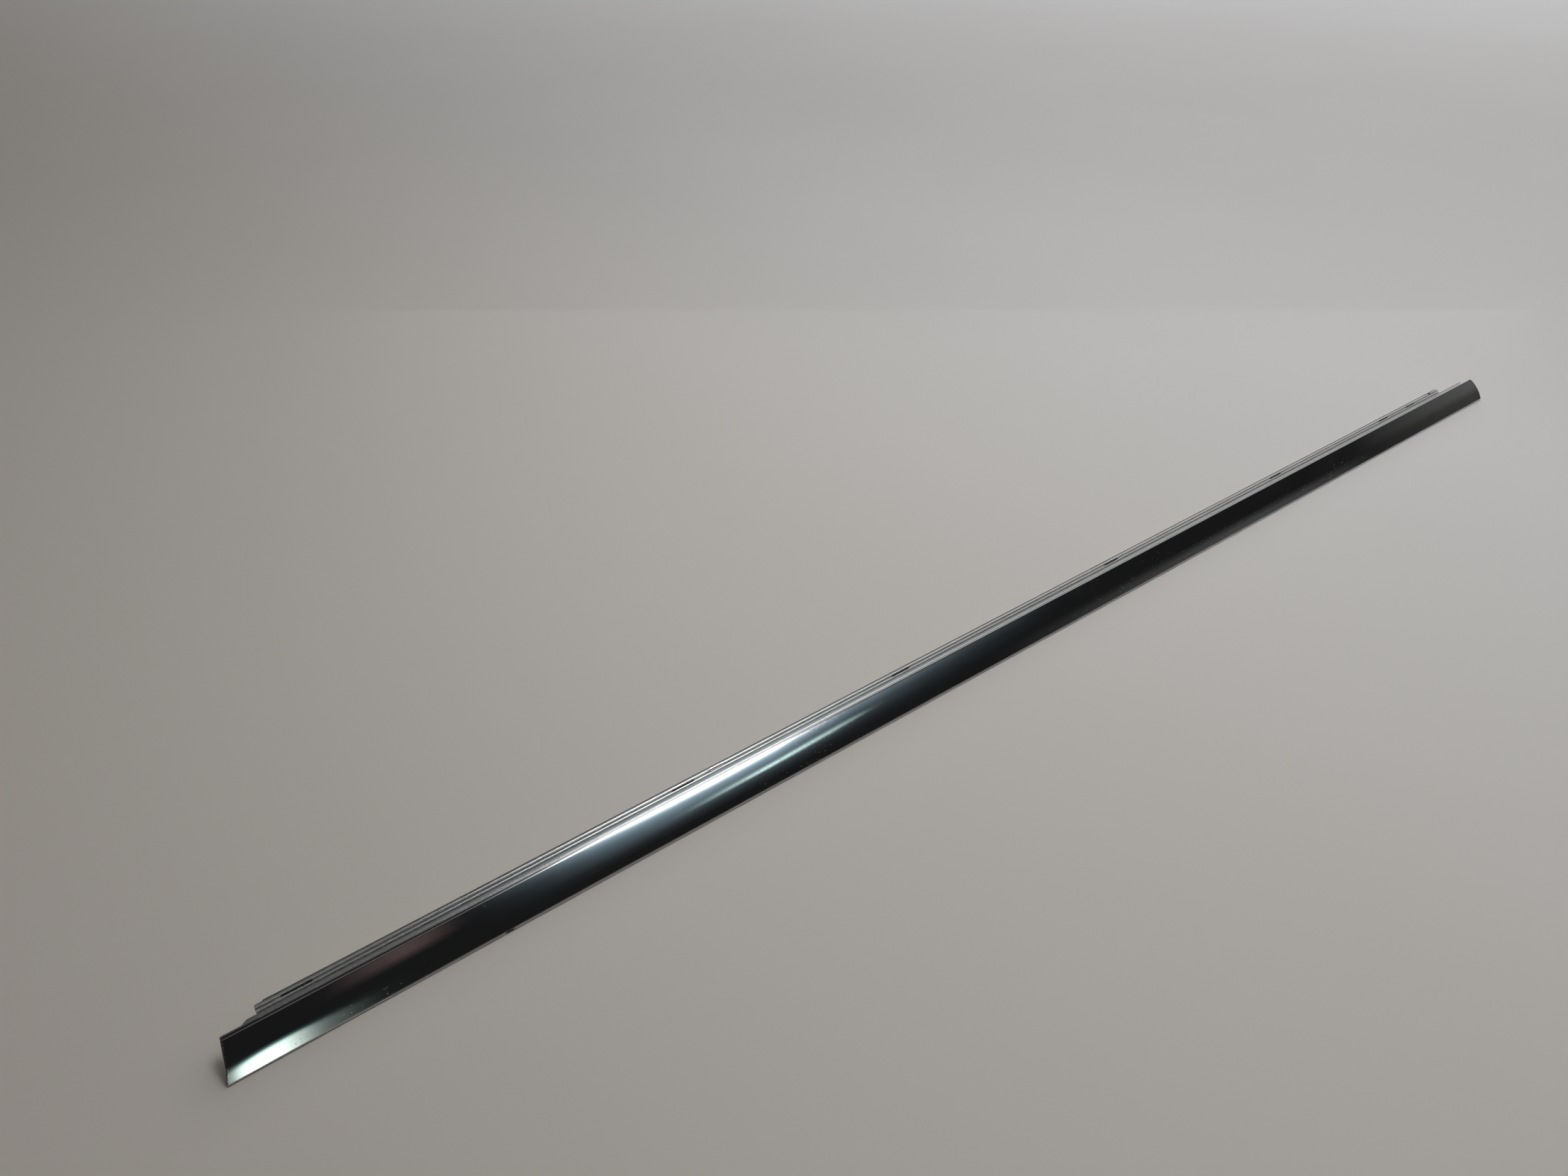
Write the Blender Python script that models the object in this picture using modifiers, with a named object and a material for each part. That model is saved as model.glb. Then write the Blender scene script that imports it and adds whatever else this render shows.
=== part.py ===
"""Door belt trim strip: a bright formed cover on a ribbed carrier, held by seven spring clips.

+X runs along the strip, +Y from the bright face towards the window glass, +Z up.
The strip lies as it rests on a bench: on the hem of the face and on the feet of the clips.
The origin is at the middle of the strip's footprint.
"""

import math

import bmesh
import bpy

MM = 0.001

# Overall
LENGTH = 1120 * MM
DEPTH = 24.6 * MM
LEAN = math.radians(45)
END_SLANT = 0.376  # how far the left end's cut runs in per unit of height

# Bright cover. Sections use p along the face's chord, upwards, and q behind it.
COVER_SHEET = 0.5 * MM
HEM_RADIUS = 1.0 * MM
HEM_RETURN = 5.0 * MM
FACE_TOP = 19.3 * MM
FACE_HALF_ANGLE = math.radians(17)
CREST_RADIUS = 2.5 * MM
STEP_LEAN = math.radians(20)
STEP_DEPTH = 2.8 * MM
FLANGE_BEND = 0.5 * MM
FLANGE_FOOT = 21.3 * MM
FLANGE_TOP = 22.65 * MM
FLANGE_LEAN = math.radians(7)
FLANGE_START = 14.8 * MM
FLANGE_START_SLANT = 3.7 * MM
FLANGE_END = 1107 * MM
FLANGE_END_CORNER = 0.8 * MM
NOTCH_AT = 140 * MM
NOTCH_LENGTH = 4.6 * MM

# Ribbed carrier
WEB_SHEET = 0.5 * MM
WEB_FOOT = 1.3 * MM
WEB_TOP = 19.4 * MM
RIB_RADIUS = 0.55 * MM
RIB_1 = (23.85 * MM, 3.35 * MM)
RIB_2 = (25.75 * MM, 3.45 * MM)
GROOVE_FLOOR = 3.75 * MM
RAIL_SHELF = 3.9 * MM
RAIL_BACK = 4.5 * MM
RAIL_SHOULDER = 21.0 * MM
RAIL_START = 22.3 * MM
RAIL_END = 1071.3 * MM
RAIL_CORNER = 2.0 * MM
RAIL_CORNER_TOP = 27.3 * MM
RAIL_EDGE = 26.75 * MM
LEDGE = 4.0 * MM

# Slots in the groove, measured from the left end
SLOT_CENTRES = [41.5 * MM, 258.7 * MM, 422.6 * MM, 624.2 * MM, 822.9 * MM, 981.9 * MM, 1025.1 * MM]
SLOT_LENGTH = 15.0 * MM
SLOT_WIDTH = 1.05 * MM
SLOT_AT = 24.8 * MM
HOLE_AT = (1057.2 * MM, 25.7 * MM)
HOLE_LENGTH = 4.4 * MM
HOLE_WIDTH = 1.8 * MM

# Spring clips
CLIP_SHEET = 0.45 * MM
TONGUE_WIDTH = 10.6 * MM
CLIP_WIDTH = 14.0 * MM
CLIP_BEND = 1.2 * MM

# Locator band over the rear rib
BAND_AT = 281.2 * MM
BAND_WIDTH = 9.4 * MM
BAND_SHEET = 0.3 * MM
BAND_GAP = 0.15 * MM

# Rubber pieces
GAP = 0.3 * MM
WIPER_START = 26.5 * MM
WIPER_END = 1069.5 * MM
WIPER_SHEET = 0.35 * MM
WIPER_GAP = 0.1 * MM
WIPER_GRIP = 25.6 * MM
WIPER_CORNER = 0.2 * MM
SEAL_START = 30 * MM
SEAL_END = 1090 * MM

HEM_FRONT = (2 - math.sqrt(2)) * HEM_RADIUS * math.cos(LEAN)
SHIFT_Y = -(HEM_FRONT + DEPTH / 2)
SHIFT_Z = math.sqrt(2) * HEM_RADIUS * math.sin(LEAN)
WIPER_TIP = HEM_FRONT + DEPTH
MERGE = 0.00001

# How far the cutting shapes reach past the strip
BEYOND = 40 * MM
ABOVE = 32 * MM


def clear_scene():
    for old in list(bpy.data.objects):
        bpy.data.objects.remove(old, do_unlink=True)


def new_collection(name):
    collection = bpy.data.collections.new(name)
    bpy.context.scene.collection.children.link(collection)
    return collection


def material(name, colour, metallic, roughness):
    made = bpy.data.materials.new(name)
    made.use_nodes = True
    shader = made.node_tree.nodes["Principled BSDF"]
    shader.inputs["Base Color"].default_value = (*colour, 1.0)
    shader.inputs["Metallic"].default_value = metallic
    shader.inputs["Roughness"].default_value = roughness
    return made


def along(distance):
    """World X of a distance measured from the left end."""
    return distance - LENGTH / 2


def lean(p, q):
    """Section point (p up the face, q behind it) to y and z before the footprint is centred."""
    y = p * math.sin(LEAN) + q * math.cos(LEAN)
    z = p * math.cos(LEAN) - q * math.sin(LEAN) + SHIFT_Z
    return y, z


def centred(points):
    return [(y + SHIFT_Y, z) for y, z in points]


def leaning(points):
    return centred([lean(p, q) for p, q in points])


def arc(centre, radius, start, end, steps):
    """Points on an arc, angles in degrees from the +p axis towards +q."""
    points = []
    for step in range(steps + 1):
        angle = math.radians(start + (end - start) * step / steps)
        points.append((centre[0] + radius * math.cos(angle), centre[1] + radius * math.sin(angle)))
    return points


def rounded(points, radius, steps=4):
    """An open path with each inner corner replaced by an arc."""
    path = [points[0]]
    for before, corner, after in zip(points, points[1:], points[2:]):
        a = (before[0] - corner[0], before[1] - corner[1])
        b = (after[0] - corner[0], after[1] - corner[1])
        length_a = math.hypot(*a)
        length_b = math.hypot(*b)
        a = (a[0] / length_a, a[1] / length_a)
        b = (b[0] / length_b, b[1] / length_b)
        inner = math.acos(max(-1.0, min(1.0, a[0] * b[0] + a[1] * b[1])))
        setback = min(radius / math.tan(inner / 2), 0.48 * length_a, 0.48 * length_b)
        for step in range(steps + 1):
            t = step / steps
            wa = (1 - t) ** 2
            wb = t**2
            x = corner[0] + setback * (a[0] * wa + b[0] * wb)
            y = corner[1] + setback * (a[1] * wa + b[1] * wb)
            path.append((x, y))
    path.append(points[-1])
    return path


def linked(name, mesh, collection, finish=None):
    made = bpy.data.objects.new(name, mesh)
    collection.objects.link(made)
    if finish:
        mesh.materials.append(finish)
    return made


def outline_mesh(name, outline, thickness, turn, place):
    """A flat closed outline, extruded both ways, welded into one closed mesh in world space."""
    curve = bpy.data.curves.new(name, "CURVE")
    curve.dimensions = "2D"
    curve.fill_mode = "BOTH"
    curve.extrude = thickness / 2
    spline = curve.splines.new("POLY")
    spline.points.add(len(outline) - 1)
    for point, (x, y) in zip(spline.points, outline):
        point.co = (x, y, 0, 1)
    spline.use_cyclic_u = True
    source = bpy.data.objects.new(name, curve)
    source.rotation_euler = turn
    source.location = place
    bpy.context.scene.collection.objects.link(source)
    bpy.context.view_layer.update()
    evaluated = source.evaluated_get(bpy.context.evaluated_depsgraph_get())
    mesh = bpy.data.meshes.new_from_object(evaluated)
    mesh.transform(source.matrix_world)
    bpy.data.objects.remove(source, do_unlink=True)
    weld(mesh)
    return mesh


def weld(mesh):
    work = bmesh.new()
    work.from_mesh(mesh)
    bmesh.ops.remove_doubles(work, verts=work.verts, dist=MERGE)
    bmesh.ops.recalc_face_normals(work, faces=work.faces)
    work.to_mesh(mesh)
    work.free()


def rail_solid(name, outline, start, end):
    """A closed section swept along the strip, between two distances from the left end."""
    middle = (along(start) + along(end)) / 2
    turn = (math.pi / 2, 0, math.pi / 2)
    return outline_mesh(name, outline, end - start, turn, (middle, 0, 0))


def strip_mesh(name, path, half_widths):
    """An open strip across X that follows a path in Y and Z; its upper side faces out."""
    work = bmesh.new()
    near = [work.verts.new((-w, y, z)) for (y, z), w in zip(path, half_widths)]
    edges = [work.edges.new(pair) for pair in zip(near, near[1:])]
    swept = bmesh.ops.extrude_edge_only(work, edges=edges)["geom"]
    far = [item for item in swept if isinstance(item, bmesh.types.BMVert)]
    for vert in far:
        vert.co.x = -vert.co.x
    mesh = bpy.data.meshes.new(name)
    work.to_mesh(mesh)
    work.free()
    return mesh


def solidify(target, thickness, offset):
    shell = target.modifiers.new("sheet", "SOLIDIFY")
    shell.thickness = thickness
    shell.offset = offset
    shell.use_even_offset = True


def cut(target, cutter, operation="DIFFERENCE"):
    knife = target.modifiers.new(cutter.name, "BOOLEAN")
    knife.operation = operation
    knife.solver = "EXACT"
    knife.object = cutter


def cutter(name, outline, q_low, q_high, cutters):
    """A prism with its outline in (distance from the left end, p), through a range of q."""
    flat = [(along(x), p) for x, p in outline]
    middle = (q_low + q_high) / 2
    y, z = lean(0, middle)
    mesh = outline_mesh(name, flat, q_high - q_low, (LEAN, 0, 0), (0, y + SHIFT_Y, z))
    made = linked(name, mesh, cutters)
    made.hide_render = True
    made.display_type = "WIRE"
    return made


def slot_outline(centre, across, length, width):
    left = centre - length / 2
    right = centre + length / 2
    low = across - width / 2
    high = across + width / 2
    return [(left, low), (right, low), (right, high), (left, high)]


def smooth(made, degrees=35):
    made.data.shade_smooth()
    made.data.set_sharp_from_angle(angle=math.radians(degrees))


def slant_left_end(mesh):
    for vert in mesh.vertices:
        if vert.co.x < 0:
            vert.co.x += END_SLANT * vert.co.z


def cover_path():
    """Visible surface of the bright cover, from inside the hem to the edge of the flange."""
    half = math.degrees(FACE_HALF_ANGLE)
    hem = (HEM_RADIUS, HEM_RADIUS)
    path = [(HEM_RETURN, 2 * HEM_RADIUS)] + arc(hem, HEM_RADIUS, 90, 270 - half, 8)
    foot = path[-1]
    chord = FACE_TOP - foot[0]
    radius = chord / (2 * math.sin(FACE_HALF_ANGLE))
    centre = (foot[0] + chord / 2, foot[1] + radius * math.cos(FACE_HALF_ANGLE))
    path += arc(centre, radius, 270 - half, 270 + half, 16)[1:]
    lean_in = (math.sin(FACE_HALF_ANGLE), math.cos(FACE_HALF_ANGLE))
    top = path[-1]
    crest = (top[0] - CREST_RADIUS * lean_in[0], top[1] + CREST_RADIUS * lean_in[1])
    step_lean = math.degrees(STEP_LEAN)
    path += arc(crest, CREST_RADIUS, half - 90, -step_lean, 8)[1:]
    bend_depth = STEP_DEPTH - FLANGE_BEND
    wall_end = bend_depth + FLANGE_BEND * math.sin(STEP_LEAN)
    wall_rise = (wall_end - path[-1][1]) * math.tan(STEP_LEAN)
    bend = (path[-1][0] + wall_rise + FLANGE_BEND * math.cos(STEP_LEAN), bend_depth)
    path += arc(bend, FLANGE_BEND, 180 - step_lean, 90 + math.degrees(FLANGE_LEAN), 4)
    rise = FLANGE_TOP - path[-1][0]
    path.append((FLANGE_TOP, path[-1][1] + rise * math.tan(FLANGE_LEAN)))
    return path


def face_cover(parts, cutters, finish):
    path = leaning(cover_path())
    mesh = strip_mesh("face_cover", path, [LENGTH / 2] * len(path))
    slant_left_end(mesh)
    made = linked("face_cover", mesh, parts, finish)
    solidify(made, COVER_SHEET, -1)
    full = FLANGE_START + FLANGE_START_SLANT
    start = [(-BEYOND, FLANGE_FOOT), (FLANGE_START, FLANGE_FOOT)]
    start += [(full, FLANGE_TOP + COVER_SHEET), (full, ABOVE), (-BEYOND, ABOVE)]
    level = FLANGE_END - FLANGE_END_CORNER
    end = [(level, ABOVE), (level, FLANGE_TOP - FLANGE_END_CORNER / 3)]
    end += [(FLANGE_END, FLANGE_TOP - FLANGE_END_CORNER), (FLANGE_END, FLANGE_FOOT)]
    end += [(LENGTH + BEYOND, FLANGE_FOOT), (LENGTH + BEYOND, ABOVE)]
    cut(made, cutter("cut_flange_start", start, -5 * MM, 10 * MM, cutters))
    cut(made, cutter("cut_flange_end", end, -5 * MM, 10 * MM, cutters))
    notch = slot_outline(NOTCH_AT, 0, NOTCH_LENGTH, 2.1 * MM)
    cut(made, cutter("cut_notch", notch, -2 * MM, 4 * MM, cutters))
    smooth(made)
    return made


def carrier_outline():
    """Closed section: a web that stands in the hem, two ribs with a groove, and a thin rear edge."""
    foot_front = HEM_RADIUS - WEB_SHEET / 2
    foot_back = HEM_RADIUS + WEB_SHEET / 2
    knee = HEM_RETURN + 0.3 * MM
    outline = [(WEB_FOOT, foot_front), (knee, foot_front), (WEB_TOP, RAIL_SHELF - 0.15 * MM)]
    outline += [(RIB_1[0] - RIB_RADIUS, RAIL_SHELF)]
    outline += arc(RIB_1, RIB_RADIUS, 180, 360, 8)
    outline += [(RIB_1[0] + RIB_RADIUS, GROOVE_FLOOR), (RIB_2[0] - RIB_RADIUS, GROOVE_FLOOR)]
    outline += arc(RIB_2, RIB_RADIUS, 180, 360, 8)
    outline += [(RIB_2[0] + RIB_RADIUS, LEDGE), (RAIL_EDGE, LEDGE), (RAIL_EDGE, RAIL_BACK)]
    outline += [(RIB_1[0] - 2 * RIB_RADIUS, RAIL_BACK), (WEB_TOP - 0.2 * MM, RAIL_BACK - 0.15 * MM)]
    outline += [(knee + 0.1 * MM, foot_back), (WEB_FOOT, foot_back)]
    return outline


def carrier_rail(parts, cutters, finish):
    mesh = rail_solid("carrier_rail", leaning(carrier_outline()), 0, LENGTH - 2 * MM)
    slant_left_end(mesh)
    made = linked("carrier_rail", mesh, parts, finish)
    corner = (RAIL_START + RAIL_CORNER, RAIL_CORNER_TOP - RAIL_CORNER)
    level = RAIL_START + 2 * RAIL_CORNER
    start = [(-BEYOND, RAIL_SHOULDER), (RAIL_START, RAIL_SHOULDER)]
    start += arc(corner, RAIL_CORNER, 180, 90, 6)
    start += [(level, RAIL_CORNER_TOP + RAIL_CORNER / 3), (level, ABOVE), (-BEYOND, ABOVE)]
    end = [(RAIL_END, RAIL_SHOULDER), (LENGTH + BEYOND, RAIL_SHOULDER)]
    end += [(LENGTH + BEYOND, ABOVE), (RAIL_END, ABOVE)]
    cut(made, cutter("cut_rail_start", start, -5 * MM, 12 * MM, cutters))
    cut(made, cutter("cut_rail_end", end, -5 * MM, 12 * MM, cutters))
    for number, centre in enumerate(SLOT_CENTRES, 1):
        slot = slot_outline(centre, SLOT_AT, SLOT_LENGTH, SLOT_WIDTH)
        cut(made, cutter(f"cut_slot_{number}", slot, 2 * MM, 5.3 * MM, cutters))
    hole_x, hole_p = HOLE_AT
    reach = (HOLE_LENGTH - HOLE_WIDTH) / 2
    hole = arc((hole_x + reach, hole_p), HOLE_WIDTH / 2, -90, 90, 6)
    hole += arc((hole_x - reach, hole_p), HOLE_WIDTH / 2, 90, 270, 6)
    cut(made, cutter("cut_hole", hole, 2 * MM, 4.8 * MM, cutters))
    smooth(made)
    return made


def clip_leg_path():
    """From the tip of the tongue, down through the slot, to the foot on the bench."""
    tip = lean(SLOT_AT, 3.2 * MM)
    neck = lean(SLOT_AT, 5.0 * MM)
    down = [(19.4, 13.0), (17.95, 9.6), (17.95, 4.6), (19.6, 0.225), (21.2, 0.225), (21.9, 1.0)]
    return rounded([tip, neck] + [(y * MM, z * MM) for y, z in down], CLIP_BEND)


def clip_arm_path():
    """From the leg's crown, forward under the web, then down to a flared end."""
    points = [(18.9, 12.1), (16.4, 10.35), (12.9, 8.3), (12.65, 6.9), (12.65, 4.2), (11.9, 3.0)]
    return rounded([(y * MM, z * MM) for y, z in points], CLIP_BEND)


def clip_mesh():
    """One spring clip, leg and arm joined, centred on x = 0."""
    leg = clip_leg_path()
    widths = [TONGUE_WIDTH / 2 if z > 14.6 * MM else CLIP_WIDTH / 2 for _, z in leg]
    stage = bpy.context.scene.collection
    leg_object = linked("clip_leg", strip_mesh("clip_leg", centred(leg), widths), stage)
    solidify(leg_object, CLIP_SHEET, 0)
    arm = clip_arm_path()
    arm_widths = [CLIP_WIDTH / 2 - 1.5 * MM] * len(arm)
    arm_object = linked("clip_arm", strip_mesh("clip_arm", centred(arm), arm_widths), stage)
    solidify(arm_object, CLIP_SHEET, 0)
    cut(leg_object, arm_object, "UNION")
    bpy.context.view_layer.update()
    evaluated = leg_object.evaluated_get(bpy.context.evaluated_depsgraph_get())
    mesh = bpy.data.meshes.new_from_object(evaluated)
    mesh.name = "spring_clip"
    for used in (leg_object, arm_object):
        bpy.data.objects.remove(used, do_unlink=True)
    return mesh


def spring_clips(parts, finish):
    mesh = clip_mesh()
    mesh.materials.clear()
    mesh.materials.append(finish)
    for number, centre in enumerate(SLOT_CENTRES, 1):
        made = linked(f"spring_clip_{number}", mesh, parts)
        made.location.x = along(centre)
    smooth(made)


def locator_band(parts, finish):
    """Sprung band over the rear rib, one leg in the groove."""
    radius = RIB_RADIUS + BAND_GAP + BAND_SHEET / 2
    path = [(RIB_2[0] - radius, 3.5 * MM)] + arc(RIB_2, radius, 185, 335, 10)
    mesh = strip_mesh("locator_band", leaning(path), [BAND_WIDTH / 2] * len(path))
    made = linked("locator_band", mesh, parts, finish)
    made.location.x = along(BAND_AT)
    solidify(made, BAND_SHEET, 0)
    smooth(made)
    return made


def wiper_outline():
    """Closed section: an angle bonded round the rail's rear edge, and a lip that flares to the glass."""
    inside = RAIL_EDGE + WIPER_GAP
    outside = inside + WIPER_SHEET
    below = RAIL_BACK + WIPER_GAP
    top = [(inside, LEDGE), (outside - WIPER_CORNER, LEDGE), (outside, LEDGE + WIPER_CORNER), (outside, RAIL_BACK)]
    channel = [(WIPER_GRIP, below + WIPER_SHEET), (WIPER_GRIP, below), (inside, below)]
    lip = [(22.75 * MM, 14.8 * MM), (23.3 * MM, 12.7 * MM), (24.3 * MM, 10.8 * MM), (WIPER_TIP, 9.7 * MM)]
    lip += [(24.7 * MM, 9.35 * MM), (23.8 * MM, 10.4 * MM), (22.7 * MM, 12.4 * MM), (22.1 * MM, 14.6 * MM)]
    section = [lean(p, q) for p, q in top] + lip + [lean(p, q) for p, q in channel]
    return centred(section)


def glass_wiper(parts, finish):
    mesh = rail_solid("glass_wiper", wiper_outline(), WIPER_START, WIPER_END)
    made = linked("glass_wiper", mesh, parts, finish)
    smooth(made)
    return made


def bedding_seal(parts, cutters, finish):
    """Rubber strip behind the hem, with a tab that comes out through the notch."""
    back = 2 * HEM_RADIUS + GAP
    strip = [(2.3, 0), (5.6, 0), (6.0, 0.3), (5.4, 0.8), (2.9, 0.8), (2.4, 0.5)]
    section = leaning([(p * MM, back + q * MM) for p, q in strip])
    made = linked("bedding_seal", rail_solid("bedding_seal", section, SEAL_START, SEAL_END), parts, finish)
    tab = [(0.75, 0.15), (0.35, 0.35), (0.05, 1.0), (0.3, 1.6), (1.2, 2.5), (2.6, 2.8)]
    tab += [(2.6, 2.35), (1.3, 2.3), (0.75, 1.9)]
    profile = leaning([(p * MM, q * MM) for p, q in tab])
    half = NOTCH_LENGTH / 2 - GAP
    mesh = rail_solid("seal_tab", profile, NOTCH_AT - half, NOTCH_AT + half)
    lug = linked("seal_tab", mesh, cutters)
    lug.hide_render = True
    lug.display_type = "WIRE"
    cut(made, lug, "UNION")
    smooth(made)
    return made


def build():
    clear_scene()
    parts = new_collection("belt_trim_strip")
    cutters = new_collection("cutters")
    bright = material("bright_cover", (0.60, 0.61, 0.62), 1.0, 0.05)
    rail = material("rail_metal", (0.66, 0.66, 0.65), 1.0, 0.25)
    spring = material("spring_steel", (0.06, 0.06, 0.065), 0.8, 0.45)
    band = material("band_metal", (0.55, 0.55, 0.56), 1.0, 0.2)
    flock = material("wiper_rubber", (0.018, 0.018, 0.018), 0.0, 0.85)
    rubber = material("seal_rubber", (0.015, 0.015, 0.016), 0.0, 0.6)
    face_cover(parts, cutters, bright)
    carrier_rail(parts, cutters, rail)
    spring_clips(parts, spring)
    locator_band(parts, band)
    glass_wiper(parts, flock)
    bedding_seal(parts, cutters, rubber)


build()
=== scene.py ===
"""Looks of the door belt trim strip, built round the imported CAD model.

The strip lies along X with its slanted end at the left. Sections are drawn in p, up the
face's chord, and q, behind it; the chord leans back 45 degrees.
"""

import math

import bmesh
import bpy
from mathutils import Matrix, Vector


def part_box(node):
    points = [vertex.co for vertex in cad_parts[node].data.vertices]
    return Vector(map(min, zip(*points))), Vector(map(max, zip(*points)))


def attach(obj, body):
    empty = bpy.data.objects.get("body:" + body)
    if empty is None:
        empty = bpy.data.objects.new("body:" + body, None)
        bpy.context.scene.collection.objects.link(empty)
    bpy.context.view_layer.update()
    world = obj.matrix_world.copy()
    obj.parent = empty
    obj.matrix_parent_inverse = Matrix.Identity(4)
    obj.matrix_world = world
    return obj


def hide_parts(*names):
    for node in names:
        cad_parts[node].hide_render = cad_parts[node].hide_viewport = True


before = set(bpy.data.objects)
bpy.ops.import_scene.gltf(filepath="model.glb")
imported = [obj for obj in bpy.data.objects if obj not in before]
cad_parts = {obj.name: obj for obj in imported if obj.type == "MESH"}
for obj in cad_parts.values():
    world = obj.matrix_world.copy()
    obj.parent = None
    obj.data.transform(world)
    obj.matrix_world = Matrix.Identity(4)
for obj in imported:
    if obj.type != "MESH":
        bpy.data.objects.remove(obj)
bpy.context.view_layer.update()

MM = 0.001
LEAN = math.radians(45)

# Sizes that the CAD model has
LENGTH = 1120 * MM
DEPTH = 24.6 * MM
END_SLANT = 0.376
COVER_SHEET = 0.5 * MM
HEM_RADIUS = 1.0 * MM
HEM_RETURN = 5.0 * MM
FACE_TOP = 19.3 * MM
FACE_HALF_ANGLE = math.radians(17)
CREST_RADIUS = 2.5 * MM
STEP_LEAN = math.radians(20)
STEP_DEPTH = 2.8 * MM
FLANGE_BEND = 0.5 * MM
FLANGE_FOOT = 21.3 * MM
FLANGE_TOP = 22.65 * MM
FLANGE_LEAN = math.radians(7)
FLANGE_START = 14.8 * MM
FLANGE_START_SLANT = 3.7 * MM
FLANGE_END = 1107 * MM
FLANGE_END_CORNER = 0.8 * MM
FLANGE_END_DIP = 0.4 * MM
NOTCH_AT = 140 * MM
NOTCH_LENGTH = 4.6 * MM
NOTCH_WIDTH = 2.1 * MM
NOTCH_CORNER = 0.35 * MM
WEB_SHEET = 0.5 * MM
WEB_FOOT = 1.3 * MM
WEB_KNEE = 5.3 * MM
WEB_TOP = 19.4 * MM
WEB_END_GAP = 2 * MM
RIB_RADIUS = 0.55 * MM
RIB_1 = (23.85 * MM, 3.35 * MM)
RIB_2 = (25.75 * MM, 3.45 * MM)
GROOVE_FLOOR = 3.75 * MM
RAIL_SHELF = 3.9 * MM
RAIL_BACK = 4.5 * MM
RAIL_SHOULDER = 21.0 * MM
RAIL_START = 22.3 * MM
RAIL_END = 1071.3 * MM
RAIL_CORNER = 2.0 * MM
RAIL_CORNER_TOP = 27.3 * MM
RAIL_EDGE = 26.75 * MM
LEDGE = 4.0 * MM
SLOT_CENTRES = [
    41.5 * MM,
    258.7 * MM,
    422.6 * MM,
    624.2 * MM,
    822.9 * MM,
    981.9 * MM,
    1025.1 * MM,
]
SLOT_LENGTH = 15.0 * MM
SLOT_WIDTH = 1.05 * MM
SLOT_CORNER = 0.4 * MM
SLOT_AT = 24.8 * MM
HOLE_AT = (1057.2 * MM, 25.7 * MM)
HOLE_LENGTH = 4.4 * MM
HOLE_WIDTH = 1.8 * MM
CLIP_SHEET = 0.45 * MM
TONGUE_WIDTH = 10.6 * MM
TONGUE_FOOT = 14.6 * MM
CLIP_WIDTH = 14.0 * MM
ARM_INSET = 1.5 * MM
CLIP_BEND = 1.2 * MM
BAND_AT = 281.2 * MM
BAND_WIDTH = 9.4 * MM
BAND_SHEET = 0.3 * MM
BAND_GAP = 0.15 * MM
BAND_FOOT = 3.5 * MM
GAP = 0.3 * MM
WIPER_START = 26.5 * MM
WIPER_END = 1069.5 * MM
WIPER_SHEET = 0.35 * MM
WIPER_GAP = 0.1 * MM
WIPER_GRIP = 25.6 * MM
WIPER_CORNER = 0.2 * MM
WIPER_BEND = 0.16 * MM
SEAL_START = 30 * MM
SEAL_END = 1090 * MM

# The section's place in the frame, from the cover's own box
HEM_FRONT = (2 - math.sqrt(2)) * HEM_RADIUS * math.cos(LEAN)
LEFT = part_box("face_cover")[0][0]
SHIFT_Y = -(HEM_FRONT + DEPTH / 2)
SHIFT_Z = math.sqrt(2) * HEM_RADIUS * math.sin(LEAN)
WIPER_TIP = HEM_FRONT + DEPTH

# Shallow corrugations that only the visible band has
RIPPLE_DEPTH = 0.035 * MM
RIPPLE_PITCH = 2.35 * MM
RIPPLE_STATIONS = 56

# Widths of the broken edges
COVER_BREAK = 0.07 * MM
RAIL_BREAK = 0.05 * MM
CLIP_BREAK = 0.06 * MM
BAND_BREAK = 0.04 * MM
WIPER_BREAK = 0.08 * MM
SEAL_BREAK = 0.05 * MM
SOFT_ANGLE = 60

# How far the cutting shapes reach past the strip, and between which q they cut
BEYOND = 40 * MM
ABOVE = 32 * MM
COVER_CUT = (-5 * MM, 10 * MM)
NOTCH_CUT = (-2 * MM, 4 * MM)
RAIL_CUT = (-5 * MM, 12 * MM)
SLOT_CUT = (2 * MM, 5.3 * MM)
HOLE_CUT = (2 * MM, 4.8 * MM)

# The backdrop card: its ends, measured along it, a point on it, its direction and its height,
# which tapers to the right
WALL_LEFT = -1.1
WALL_RIGHT = 0.8
WALL_POINT = (0.178, 0.542)
WALL_DIRECTION = (0.796, -0.606)
WALL_HEIGHT = 0.78
WALL_TAPER = 0.83
WALL_COLOUR = (0.97, 0.98, 1.0)
WALL_TOP_COLOUR = (0.4, 0.4, 0.42)

SIDE_CARD_AT = -1.5
CEILING_AT = 2.6
FLOOR_RADIUS = 9
ROOM_COLOUR = (0.95, 0.97, 1.0)
ROOM_STRENGTH = 0.013

SENSOR_WIDTH = 36
LENS = 27.0
CAMERA_AT = (LEFT + 0.01813, -0.4007, 0.4918)
CAMERA_AIM = (0.4925, 0.6445, -0.5849)


# ---------------------------------------------------------------- geometry helpers


def along(distance):
    """World X of a distance measured from the left end."""
    return LEFT + distance


def lean(p, q):
    """Y, measured from the front of the hem's circle, and Z of a point of the section."""
    y = p * math.sin(LEAN) + q * math.cos(LEAN)
    z = p * math.cos(LEAN) - q * math.sin(LEAN) + SHIFT_Z
    return y, z


def centred(points):
    """Y and Z moved to the frame, where the strip's middle is at Y 0."""
    return [(y + SHIFT_Y, z) for y, z in points]


def leaning(points):
    return centred([lean(p, q) for p, q in points])


def arc(centre, radius, start, end, steps):
    points = []
    for step in range(steps + 1):
        angle = math.radians(start + (end - start) * step / steps)
        points.append((centre[0] + radius * math.cos(angle), centre[1] + radius * math.sin(angle)))
    return points


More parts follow.
